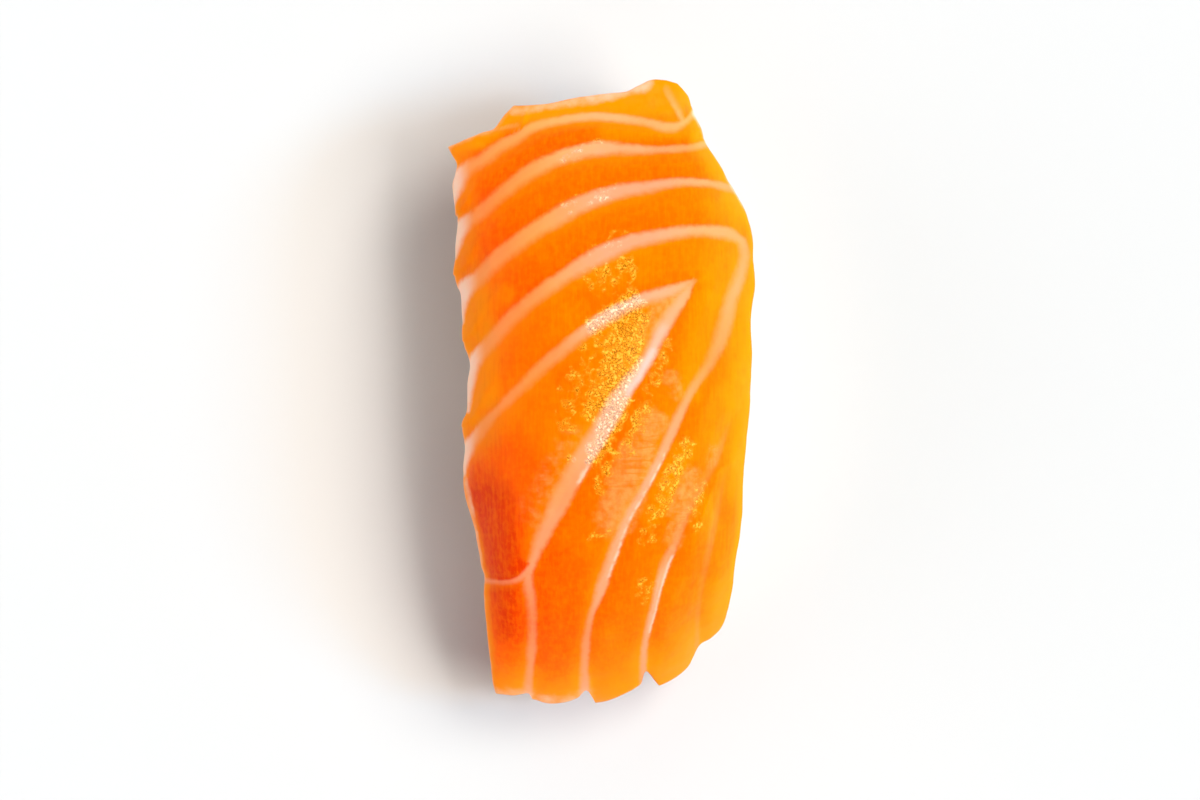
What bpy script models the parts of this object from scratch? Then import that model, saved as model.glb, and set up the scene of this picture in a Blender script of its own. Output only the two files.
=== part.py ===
"""Salmon nigiri: a slice of raw salmon draped over a pressed bed of sushi rice.

Frame: metres, +Z up, +Y along the slice towards its cut-off far end, +X across it. The origin is on the
table, under the middle of the slice. The near end, at -Y, is the one whose flakes part like fingers.
"""

import math

import bpy
import numpy as np
from mathutils import Vector, noise

# Driving dimensions, in metres.
SLICE_LENGTH = 0.0660
SLICE_WIDTH = 0.0323
SLICE_THICKNESS = 0.0044
CROWN_HEIGHT = 0.0270
RICE_LENGTH = 0.0545
RICE_WIDTH = 0.0254

# A shoulder of the draped slice: how far it sinks from the crown, its squareness (2 for a round arc, more for
# a flatter top), and the share of the quarter turn that it takes (1 would hang plumb).
SIDE_SHOULDER = (0.0106, 2.2, 0.74)
NEAR_SHOULDER = (0.0188, 2.3, 0.76)
FAR_SHOULDER = (0.0122, 2.3, 0.78)
SHOULDER_BLEND = 3.2  # how the drops of a side and an end add up at a corner
BIAS_CUT = 0.0030  # the edge is cut slanting: the underside stops this far inside the outline
EDGE_BULGE = 0.0004  # the cut edge is a little proud at half its depth

# The rice bed: a squared-off egg with a flat base, filling the hollow of the slice.
RICE_WAIST = 0.0068  # height of its widest part
RICE_CROWN = 0.0250  # the height it would have with no slice on it
BASE_TRIM = 1.12  # it is this much deeper than its waist, before the table trims it
PLAN_SQUARENESS = 0.80
SIDE_SQUARENESS = 0.45
HEIGHT_SQUARENESS = 0.80
RICE_GAP = 0.0004  # clearance to the slice
GRAIN_RELIEF = 0.0006  # height of the lumps that the grains make on the bed
GRAIN_PITCH = 0.0040  # spacing of those lumps

# Facets.
FLAKE_STEPS = 5  # along each flake's tip
LENGTH_STEPS = 44  # along the slice
RICE_AROUND = 76
RICE_UP = 26

# Directions in which the distance to the top face is tried.
BALL_TILTS = 11
BALL_TURNS = 24

# The slice's outline, as shares of half its width and half its length, read from above.
LEFT_EDGE = (
    (-0.700, -0.967), (-0.752, -0.720), (-0.785, -0.575), (-0.885, -0.345), (-0.905, -0.225),
    (-0.900, -0.160), (-0.905, -0.105), (-0.885, -0.040), (-0.880, 0.095), (-0.905, 0.190),
    (-0.938, 0.318), (-0.962, 0.385), (-0.968, 0.490), (-0.958, 0.575), (-0.980, 0.670),
    (-0.962, 0.732), (-0.992, 0.780),
)
RIGHT_EDGE = (
    (0.795, -0.738), (0.858, -0.610), (0.915, -0.400), (0.945, -0.180), (0.970, 0.000),
    (0.985, 0.110), (0.980, 0.235), (0.992, 0.370), (0.968, 0.545), (0.838, 0.682),
    (0.662, 0.824), (0.488, 0.990),
)
FAR_EDGE = (
    (-0.992, 0.780), (-0.860, 0.822), (-0.725, 0.850), (-0.650, 0.890), (-0.570, 0.920),
    (-0.380, 0.930), (-0.190, 0.950), (0.190, 0.967), (0.350, 0.990), (0.488, 0.990),
)
# Each flake at the near end: its left corner, its right corner, and how far its tip bows out.
FLAKE_TIPS = (
    ((-0.700, -0.967), (-0.480, -0.970), 0.004),
    ((-0.462, -0.991), (-0.131, -0.972), 0.016),
    ((-0.037, -0.997), (0.256, -0.932), 0.005),
    ((0.369, -0.933), (0.622, -0.812), 0.035),
    ((0.645, -0.797), (0.795, -0.738), 0.014),
)
# The cleft after each flake but the last, where a fat line reaches the edge.
CLEFTS = ((-0.472, -0.972), (-0.090, -0.962), (0.300, -0.903), (0.634, -0.803))

# The fair lines that the drape is measured from, in the same shares: the outline with its scallops left out.
FAIR_LEFT = (
    (-0.690, -1.050), (-0.800, -0.550), (-0.895, -0.100), (-0.930, 0.300), (-0.990, 0.800), (-1.010, 1.150),
)
FAIR_RIGHT = (
    (0.740, -0.950), (0.830, -0.700), (0.920, -0.350), (0.975, 0.050), (0.990, 0.400), (0.910, 0.650),
    (0.680, 0.860), (0.500, 1.150),
)
FAIR_NEAR = (
    (-1.150, -0.960), (-0.600, -0.990), (-0.100, -0.995), (0.350, -0.945), (0.650, -0.835), (1.150, -0.640),
)
FAIR_FAR = ((-1.150, 0.780), (-0.700, 0.880), (-0.200, 0.950), (0.450, 1.000), (1.150, 1.010))


def smooth_path(points, per_span=10):
    """A Catmull-Rom curve through the points."""
    padded = np.vstack([2 * points[0] - points[1], points, 2 * points[-1] - points[-2]])
    t = np.linspace(0, 1, per_span, endpoint=False)[:, None]
    spans = []
    for a, b, c, d in zip(padded, padded[1:], padded[2:], padded[3:]):
        bend = t**2 * (2 * a - 5 * b + 4 * c - d) + t**3 * (3 * b - a - 3 * c + d)
        spans.append(b + t * (c - a) / 2 + bend / 2)
    return np.vstack([*spans, points[-1]])


def path_shares(path):
    """How far along the path each of its points is, from 0 to 1."""
    steps = np.linalg.norm(np.diff(path, axis=0), axis=1)
    run = np.concatenate([[0], np.cumsum(steps)])
    return run / run[-1]


def read_path(path, shares):
    at = path_shares(path)
    return np.stack([np.interp(shares, at, path[:, axis]) for axis in (0, 1)], axis=1)


def near_edge():
    """The near end's points from left to right: bowed flake tips with a cleft between each two."""
    points = []
    for number, (left, right, bow) in enumerate(FLAKE_TIPS):
        for share in np.linspace(0, 1, FLAKE_STEPS + 1):
            x, y = (1 - share) * np.array(left) + share * np.array(right)
            points.append((x, y - bow * 4 * share * (1 - share)))
        points.extend(CLEFTS[number:number + 1])
    return np.array(points)


def slice_plan():
    """Plan positions of the slice's grid, row by row from the near end, as a patch between its edges."""
    near = near_edge()
    across = path_shares(near)
    even = np.linspace(0, 1, LENGTH_STEPS + 1)
    along = (even + (1 - np.cos(math.pi * even)) / 2) / 2  # finer towards the ends
    far = read_path(smooth_path(np.array(FAR_EDGE)), across)
    left = read_path(smooth_path(np.array(LEFT_EDGE)), along)
    right = read_path(smooth_path(np.array(RIGHT_EDGE)), along)
    s, t = across[None, :, None], along[:, None, None]
    between_ends = (1 - t) * near[None] + t * far[None]
    between_sides = (1 - s) * left[:, None] + s * right[:, None]
    corners = (1 - s) * ((1 - t) * near[0] + t * far[0]) + s * ((1 - t) * near[-1] + t * far[-1])
    plan = between_ends + between_sides - corners
    lowest, highest = plan.min(axis=(0, 1)), plan.max(axis=(0, 1))
    return (plan - (lowest + highest) / 2) / (highest - lowest) * (SLICE_WIDTH, SLICE_LENGTH)


def shoulder_drop(distance, shoulder):
    """How far a shoulder has sunk, at a distance that is 0 on the crown and 1 on the fair line."""
    drop, squareness, turn = shoulder
    rest = 1 - turn**squareness
    sunk_at_line = 1 - rest ** (1 / squareness)
    slope_at_line = turn**squareness * rest ** (1 / squareness - 1)
    turned = np.clip(turn * distance, 0, turn)
    sunk = 1 - (1 - turned**squareness) ** (1 / squareness)
    beyond = np.maximum(distance - 1, 0)
    return drop * (sunk + slope_at_line * beyond) / sunk_at_line


def top_height(x, y):
    """Height of the slice's top face, as if it ran on straight beyond the outline."""
    x, y = x / (SLICE_WIDTH / 2), y / (SLICE_LENGTH / 2)
    fair_lines = (FAIR_LEFT, FAIR_RIGHT, FAIR_NEAR, FAIR_FAR)
    left, right, near, far = (smooth_path(np.array(line)) for line in fair_lines)
    side_reach = np.where(x < 0, np.interp(y, left[:, 1], left[:, 0]), np.interp(y, right[:, 1], right[:, 0]))
    near_reach = np.interp(x, near[:, 0], near[:, 1])
    far_reach = np.interp(x, far[:, 0], far[:, 1])
    side = shoulder_drop(x / side_reach, SIDE_SHOULDER)
    near_end = shoulder_drop(y / near_reach, NEAR_SHOULDER)
    far_end = shoulder_drop(y / far_reach, FAR_SHOULDER)
    sunk = side**SHOULDER_BLEND + near_end**SHOULDER_BLEND + far_end**SHOULDER_BLEND
    return CROWN_HEIGHT - sunk ** (1 / SHOULDER_BLEND)


def height_below(x, y, depth):
    """Height of the surface that lies the given depth under the top face, square to it: as high as a ball of
    that radius can be centred without breaking through."""
    lowest = top_height(x, y) - depth
    for tilt in np.linspace(0, math.pi / 2, BALL_TILTS + 1)[1:]:
        for turn in np.linspace(0, 2 * math.pi, BALL_TURNS, endpoint=False):
            out = depth * math.sin(tilt)
            around = top_height(x + out * math.cos(turn), y + out * math.sin(turn))
            lowest = np.minimum(lowest, around - depth * math.cos(tilt))
    return lowest


def border(grid):
    """The grid's outer entries, anticlockwise from the near left corner."""
    return np.concatenate([grid[0, :-1], grid[:-1, -1], grid[-1, :0:-1], grid[:0:-1, 0]])


def grid_faces(numbers):
    """Quads over a grid of point numbers, facing up."""
    corners = (numbers[:-1, :-1], numbers[:-1, 1:], numbers[1:, 1:], numbers[1:, :-1])
    return np.stack(corners, axis=-1).reshape(-1, 4).tolist()


def band_faces(upper, lower):
    """Quads between two rings of point numbers, facing outwards for rings that run anticlockwise."""
    return np.stack([lower, np.roll(lower, -1), np.roll(upper, -1), upper], axis=1).tolist()


def new_object(name, points, faces, material):
    mesh = bpy.data.meshes.new(name)
    mesh.from_pydata(points.tolist(), [], faces)
    mesh.materials.append(material)
    mesh.shade_smooth()
    mesh.set_sharp_from_angle(angle=math.radians(50))
    made = bpy.data.objects.new(name, mesh)
    bpy.context.scene.collection.objects.link(made)


def salmon_slice(material):
    """The draped slice: a top face, an underside one thickness below it and a slanting, bulging cut edge."""
    plan = slice_plan()
    inset = plan * (1 - BIAS_CUT / (SLICE_WIDTH / 2), 1 - BIAS_CUT / (SLICE_LENGTH / 2))
    top = np.dstack([plan, top_height(plan[..., 0], plan[..., 1])])
    under = np.dstack([inset, height_below(inset[..., 0], inset[..., 1], SLICE_THICKNESS)])

    upper_ring, lower_ring = border(top), border(under)
    run = np.roll(upper_ring, -1, axis=0) - np.roll(upper_ring, 1, axis=0)
    outwards = np.cross(run, upper_ring - lower_ring)
    outwards /= np.linalg.norm(outwards, axis=1, keepdims=True)
    middle_ring = (upper_ring + lower_ring) / 2 + EDGE_BULGE * outwards

    numbers = np.arange(plan.shape[0] * plan.shape[1]).reshape(plan.shape[:2])
    upper, lower = border(numbers), border(numbers) + numbers.size
    middle = np.arange(len(middle_ring)) + 2 * numbers.size
    points = np.vstack([top.reshape(-1, 3), under.reshape(-1, 3), middle_ring])
    faces = grid_faces(numbers) + grid_faces(numbers[::-1] + numbers.size)
    faces += band_faces(upper, middle) + band_faces(middle, lower)
    new_object("salmon_slice", points, faces, material)


def signed_power(value, exponent):
    return math.copysign(abs(value) ** exponent, value)


def rice_point(turn, rise):
    """A point on the squared-off egg, lumpy with grains, as it would be with no slice and no table."""
    across = signed_power(math.cos(turn), PLAN_SQUARENESS)
    along = signed_power(math.sin(turn), PLAN_SQUARENESS)
    reach = math.cos(rise) ** SIDE_SQUARENESS
    height = RICE_CROWN - RICE_WAIST if rise > 0 else BASE_TRIM * RICE_WAIST
    z = RICE_WAIST + height * signed_power(math.sin(rise), HEIGHT_SQUARENESS)
    point = Vector((across * reach * RICE_WIDTH / 2, along * reach * RICE_LENGTH / 2, z))
    outwards = Vector((math.cos(turn), math.sin(turn), 0.0))
    return point + reach * GRAIN_RELIEF * noise.noise(point / GRAIN_PITCH) * outwards


def rice_bed(material):
    """The pressed rice: rings from the flat base, round the bulging side and over the top."""
    rises = np.linspace(-math.pi / 2, math.pi / 2, RICE_UP + 1)[1:-1]
    turns = np.linspace(0, 2 * math.pi, RICE_AROUND, endpoint=False)
    egg = [rice_point(turn, rise) for rise in rises for turn in turns]
    points = np.array([(0.0, 0.0, 0.0), *egg, (0.0, 0.0, RICE_CROWN)])
    ceiling = height_below(points[:, 0], points[:, 1], SLICE_THICKNESS + RICE_GAP)
    points[:, 2] = np.clip(np.minimum(points[:, 2], ceiling), 0, None)
    points[0, 2] = 0

    rings = 1 + np.arange(len(egg)).reshape(len(rises), RICE_AROUND)
    base, summit = np.zeros_like(rings[0]), np.full_like(rings[0], len(egg) + 1)
    faces = []
    for lower, upper in zip(rings, rings[1:]):
        faces += band_faces(upper, lower)
    faces += np.stack([base, np.roll(rings[0], -1), rings[0]], axis=1).tolist()
    faces += np.stack([summit, rings[-1], np.roll(rings[-1], -1)], axis=1).tolist()
    new_object("rice_bed", points, faces, material)


def finish(name, colour, roughness, subsurface):
    """A Principled material."""
    material = bpy.data.materials.new(name)
    material.use_nodes = True
    shader = material.node_tree.nodes["Principled BSDF"]
    shader.inputs["Base Color"].default_value = (*colour, 1.0)
    shader.inputs["Roughness"].default_value = roughness
    shader.inputs["Metallic"].default_value = 0.0
    shader.inputs["Subsurface Weight"].default_value = subsurface
    material.diffuse_color = (*colour, 1.0)
    return material


def main():
    for old in list(bpy.data.objects):
        bpy.data.objects.remove(old)
    salmon_slice(finish("raw salmon", (0.90, 0.21, 0.02), 0.25, 0.3))
    rice_bed(finish("sushi rice", (0.86, 0.84, 0.78), 0.4, 0.3))


main()
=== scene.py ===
"""Looks of a salmon nigiri: a moist slice of raw salmon, banded with fat, over a bed of cooked sushi rice.

The file is laid out as a Blender add-on and run as a script. Plan points and sizes are written in millimetres
for the slice's nominal size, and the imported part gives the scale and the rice's outline. +Y runs along the
slice to its cut-off far end, +X across it, and the flakes part like fingers at the near end.
"""

import math
from functools import partial

import bpy
import numpy as np
from bpy.props import FloatProperty, FloatVectorProperty, IntProperty, PointerProperty
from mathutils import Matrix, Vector


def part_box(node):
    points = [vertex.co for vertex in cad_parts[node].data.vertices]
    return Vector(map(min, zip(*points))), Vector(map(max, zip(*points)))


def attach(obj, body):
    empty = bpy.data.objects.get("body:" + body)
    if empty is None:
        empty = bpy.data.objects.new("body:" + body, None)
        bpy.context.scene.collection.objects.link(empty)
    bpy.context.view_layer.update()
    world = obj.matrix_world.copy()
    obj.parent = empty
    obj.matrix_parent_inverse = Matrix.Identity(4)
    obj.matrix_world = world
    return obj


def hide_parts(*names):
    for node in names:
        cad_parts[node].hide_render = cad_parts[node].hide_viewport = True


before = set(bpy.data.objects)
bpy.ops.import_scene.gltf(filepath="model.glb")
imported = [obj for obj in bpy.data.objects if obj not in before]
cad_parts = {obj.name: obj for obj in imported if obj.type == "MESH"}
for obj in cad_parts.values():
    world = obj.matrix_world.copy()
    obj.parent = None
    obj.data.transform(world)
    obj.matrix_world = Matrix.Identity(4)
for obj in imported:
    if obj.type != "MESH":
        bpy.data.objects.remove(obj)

bl_info = {
    "name": "Salmon Nigiri",
    "version": (1, 0, 0),
    "blender": (4, 5, 0),
    "location": "3D View > Sidebar > Nigiri",
    "description": "Makes a salmon nigiri: the banded slice, the rice grains under it and a plain stage",
    "category": "Add Mesh",
}

MM = 0.001
SLICE_DEPTH = 4.4  # mm of fish over the rice

SLICE_LOW, SLICE_HIGH = (np.array(corner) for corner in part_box("salmon_slice"))
NOMINAL = np.array((32.3, 66.0, 27.0))  # mm across, along and up, that the plan points below are written for
FRAME_SCALE = np.array((*(SLICE_HIGH - SLICE_LOW)[:2], SLICE_HIGH[2])) / NOMINAL

# The slice's outline from above. Its sides run from the near end to the far end, its ends from left to right.
LEFT_HEM = (
    (-11.3, -31.9), (-11.7, -30), (-12, -27), (-12.35, -23), (-12.6, -19.8), (-12.85, -18.2), (-13.4, -14.8),
    (-14.4, -11), (-14.85, -8.4), (-14.8, -7), (-14.6, -5.6), (-14.85, -4.2), (-14.75, -3), (-14.35, -1.5),
    (-14.35, 1), (-14.1, 3.2), (-14.6, 4.7), (-14.85, 6.5), (-14.95, 8.5), (-15.1, 10.5), (-15.7, 11.8),
    (-15.65, 13.8), (-15.6, 15.9), (-15.35, 18.2), (-15.7, 20.2), (-15.95, 22), (-15.7, 23.1), (-15.6, 24.2),
    (-16, 25.2), (-16.4, 26.2),
)
RIGHT_HEM = (
    (13.4, -22.8), (13.9, -20.5), (14.2, -17.5), (14.8, -14), (15, -10), (15.3, -6), (15.55, -3), (15.7, 0),
    (15.85, 4), (15.8, 8), (16.4, 11.5), (16.25, 14), (16.15, 16.2), (15.6, 18.3), (14.75, 20.5),
    (13.8, 22.3), (12.05, 24.9), (11, 27), (10.1, 29.2), (9.4, 31), (8, 32.8),
)
FAR_END = (
    ((-16.4, 26.2), (-13.9, 27.1), (-11.5, 28.05)),
    ((-11.5, 28.05), (-10.2, 29.6), (-9.3, 30.55)),
    ((-9.3, 30.55), (-8.6, 30.5), (-6, 30.7), (-3, 31.3), (0, 31.6), (2.5, 31.8), (3.9, 32.5)),
    ((3.9, 32.5), (5.3, 33.2), (6.8, 33.2), (8, 32.8)),
)
NEAR_END = (
    ((-11.3, -31.9), (-9.4, -32.1), (-7.75, -32)),
    ((-7.75, -32), (-7.5, -32.65)),
    ((-7.5, -32.65), (-6.4, -32.9), (-5, -33), (-3.4, -32.75), (-2.3, -32.35)),
    ((-2.3, -32.35), (-1.6, -31.6)),
    ((-1.6, -31.6), (-0.7, -33.1)),
    ((-0.7, -33.1), (1, -32.5), (3.1, -31.6), (4.4, -31)),
    ((4.4, -31), (4.75, -29.5)),
    ((4.75, -29.5), (6.1, -31.2)),
    ((6.1, -31.2), (7.6, -30.4), (9.1, -29.3), (9.9, -28.1), (10.5, -26.8), (11.7, -25.9), (12.8, -24.8),
     (13.4, -22.8)),
)

# The fair lines that the drape is measured from: the outline with its scallops and flake tips left out.
FAIR_LEFT = ((-11.1, -34.7), (-12.9, -18.2), (-14.5, -3.3), (-15, 9.9), (-16, 26.4), (-16.3, 38))
FAIR_RIGHT = (
    (12, -31.4), (13.4, -23.1), (14.9, -11.6), (15.7, 1.7), (16, 13.2), (14.7, 21.5), (11, 28.4), (8.1, 38),
)
FAIR_NEAR = ((-18.6, -31.7), (-9.7, -32.7), (-1.6, -32.8), (5.7, -31.2), (10.5, -27.6), (18.6, -21.1))
FAIR_FAR = ((-18.6, 25.7), (-11.3, 29), (-3.2, 31.4), (7.3, 33), (18.6, 33.3))

# A shoulder of the drape: how far it sinks in mm, its squareness, and its share of a quarter turn.
SIDE_SHOULDER = (10.6, 2.2, 0.74)
NEAR_SHOULDER = (18.8, 2.3, 0.76)
FAR_SHOULDER = (12.2, 2.3, 0.78)
SHOULDER_BLEND = 3.2
BIAS_CUT = 3.0  # mm that the underside ends short of the top face, all round
EDGE_BULGE = 0.4  # mm
CUT_RINGS = 11
RIM_RINGS = 4  # over this many rings or rows, the rounding of a corner fades out
SLICE_GRID = (132, 264)  # faces across and along

# How far in from the outline the slice looks thin, in mm: at the near end, right, far end and left.
THIN_REACH = (5.0, 1.0, 2.2, 1.1)

# Each sheet of fat between two flakes, as it shows from above: the points of its centre line, its width
# there, and how strongly it shows. They run from the left hem to the fold's apex and then down, so that the
# side of the line where the sheet is sharp is always on the left.
FAT_SHEETS = {
    "first": (
        (-15.7, 20, 0.6, 1), (-15.5, 21.6, 1.5, 1), (-15.1, 22.9, 1.9, 1), (-14.2, 23.8, 1.7, 0.9),
        (-12.8, 24.6, 1.5, 0.75), (-10.9, 26.1, 1.4, 0.7), (-8.8, 27.2, 1.2, 0.7), (-7, 28.3, 1.2, 0.8),
        (-4, 29, 1.1, 0.9), (-1, 29.3, 1, 1), (2, 29.1, 1, 0.95), (4.5, 28.7, 1.1, 0.8),
        (6.7, 28.2, 1.1, 0.75), (8.1, 28.3, 1, 0.75), (9.2, 29, 0.8, 0.7), (10, 30, 0.8, 0.7),
        (11, 31.4, 0.6, 0.7)),
    "first_branch": (
        (8.5, 28.9, 0.7, 0.7), (8, 29.8, 0.9, 0.65), (7.4, 30.9, 0.9, 0.5), (6.8, 32.2, 0.7, 0.3)),
    "corner": ((-11.6, 27.9, 0.4, 0.5), (-10.3, 28.2, 0.4, 0.5), (-8.9, 28.5, 0.5, 0.3)),
    "second": (
        (-15.6, 14.4, 0.6, 1), (-15.5, 15.8, 1.4, 1), (-15.2, 17.1, 1.9, 1), (-14.4, 18, 1.8, 0.9),
        (-13.1, 18.9, 1.6, 0.75), (-11.1, 20.7, 1.6, 0.65), (-9.1, 22.3, 1.7, 0.68), (-7.2, 23.6, 1.8, 0.8),
        (-4.9, 24.7, 1.7, 0.95), (-2.4, 25.5, 1.7, 1.05), (0, 25.9, 1.7, 1), (3, 25.85, 1.3, 0.9),
        (6, 25.75, 0.9, 0.75), (9.5, 26, 0.8, 0.6), (11, 26.4, 0.8, 0.8), (13, 26.9, 0.8, 0.8)),
    "third": (
        (-14.9, 7.6, 0.6, 1), (-14.9, 9.3, 1.4, 1), (-14.6, 10.8, 2.1, 1), (-14, 11.5, 2, 0.9),
        (-13.1, 12.2, 1.9, 0.9), (-10.85, 14.4, 1.9, 0.85), (-8.35, 16.3, 1.9, 0.8), (-5.8, 17.95, 2, 0.82),
        (-3.35, 19.4, 2.1, 0.87), (-0.9, 20.5, 1.8, 1), (2.1, 21.35, 1.7, 1), (5, 21.8, 1.4, 1),
        (8, 22.25, 1.1, 1), (11, 22.2, 1, 1), (13.6, 21.8, 1, 0.9), (15.5, 21.2, 1, 0.9)),
    "fourth_upper": (
        (-14.2, -1.8, 0.5, 1), (-14.1, 0.6, 1.1, 1), (-13.9, 2.5, 1.6, 1), (-13.4, 3.7, 1.7, 1),
        (-11.9, 5.4, 1.6, 0.85), (-9.7, 7.85, 1.7, 0.77), (-7.3, 9.9, 1.7, 0.77), (-4.9, 11.75, 1.6, 0.82),
        (-2.4, 13.3, 1.8, 0.9), (0.05, 14.7, 1.9, 1), (2.5, 15.8, 1.8, 1.05), (5, 16.4, 1.6, 1),
        (8, 16.95, 1.4, 1), (11, 17.15, 1.3, 1), (13.4, 16.9, 1.3, 0.95), (14.9, 16.1, 1.1, 0.9)),
    "fourth_side": (
        (14.9, 16.1, 1.1, 0.9), (15.2, 14.6, 1.3, 0.8), (14.6, 12, 1.5, 0.9), (13.8, 10, 1.6, 0.85),
        (13.25, 7.6, 1.7, 0.7), (12.6, 5.35, 1.6, 0.6), (11.55, 3.3, 1.4, 0.5), (10.4, 1.6, 1.1, 0.55)),
    "fourth_lower": (
        (10.4, 1.6, 1.1, 0.55), (9.2, -0.3, 1, 0.7), (8.05, -2.75, 1.1, 0.8), (6.85, -5.4, 1, 0.8),
        (5.6, -7.95, 0.95, 0.95), (4.2, -10.5, 0.9, 1), (2.85, -12.9, 1, 1.05), (1.8, -15.4, 1.1, 1),
        (0.8, -18.2, 1.2, 1), (-0.1, -20.9, 1.1, 1.05), (-0.9, -22.9, 0.8, 0.8), (-1.4, -25, 0.9, 0.6),
        (-1.7, -28, 1, 0.7), (-1.7, -31.2, 1.2, 0.95), (-1.6, -34, 1.2, 1)),
    "fifth_upper": (
        (-14.7, -8.5, 0.5, 1), (-14.6, -7, 1.1, 1), (-14.2, -5.7, 1.6, 1), (-13.1, -4.2, 1.3, 0.8),
        (-11.4, -2.1, 1.2, 0.75), (-8.9, 0.35, 1.3, 0.72), (-6.6, 2.65, 1.4, 0.67), (-4.1, 4.7, 1.3, 0.72),
        (-1.5, 6.8, 1.4, 0.95), (1, 8.4, 1.4, 1.05), (3.5, 9.7, 1.4, 1.05), (6, 10.45, 1.4, 1),
        (8.2, 11.15, 1.2, 0.95), (9.8, 11.9, 0.5, 0.6)),
    "fifth_lower": (
        (9.8, 11.9, 0.5, 0.6), (8.75, 10.2, 1.2, 0.95), (7.45, 8.2, 1.4, 0.95), (6.15, 6.2, 1.6, 0.95),
        (5.15, 4.1, 1.5, 1), (3.9, 2.15, 1.6, 1.05), (2.4, 0.2, 1.8, 1.05), (1, -2.2, 2.1, 1.05),
        (-0.25, -4.35, 2.2, 1.1), (-2.1, -7.15, 2.3, 0.85), (-3.6, -9.95, 2.3, 0.72), (-5, -12.7, 1.9, 0.75),
        (-6.2, -15.1, 1.6, 0.8), (-7.2, -17.6, 1.1, 0.85), (-7.7, -19.4, 1.2, 0.75), (-7.3, -22, 1.2, 0.5),
        (-7.2, -25, 1, 0.45), (-7.4, -28, 1, 0.62), (-7.7, -31, 1, 0.7), (-7.7, -34, 1, 0.8)),
    "crossing": (
        (-14, -19.6, 0.7, 0.9), (-12.4, -19.6, 0.7, 0.85), (-10.5, -19.75, 0.6, 0.65), (-9, -19.5, 0.7, 0.7),
        (-8.1, -18.9, 0.9, 0.8), (-7.4, -18, 1, 0.8)),
    "sixth": (
        (13.6, -3, 0.5, 0.05), (12.5, -6, 0.8, 0.22), (11, -8.9, 1, 0.12), (9.2, -11.9, 1.2, 0.15),
        (8.3, -14.3, 0.9, 0.3), (7.6, -16.2, 0.9, 0.55), (6.8, -18, 1.1, 0.75), (6.15, -20, 0.9, 1.2),
        (5.7, -22, 0.9, 1.15), (5.2, -24, 0.8, 1.1), (4.65, -26.5, 0.8, 0.95), (4.5, -29, 0.8, 0.9),
        (4.6, -32, 0.8, 0.9)),
    "seventh": (
        (13, -8.5, 0.6, 0.04), (12.1, -13, 0.9, 0.1), (11.5, -16, 0.8, 0.13), (10.9, -19, 0.7, 0.08),
        (10.4, -22, 0.6, 0.08), (10.25, -25, 0.6, 0.2), (10.2, -28, 0.6, 0.3)),
}

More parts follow.
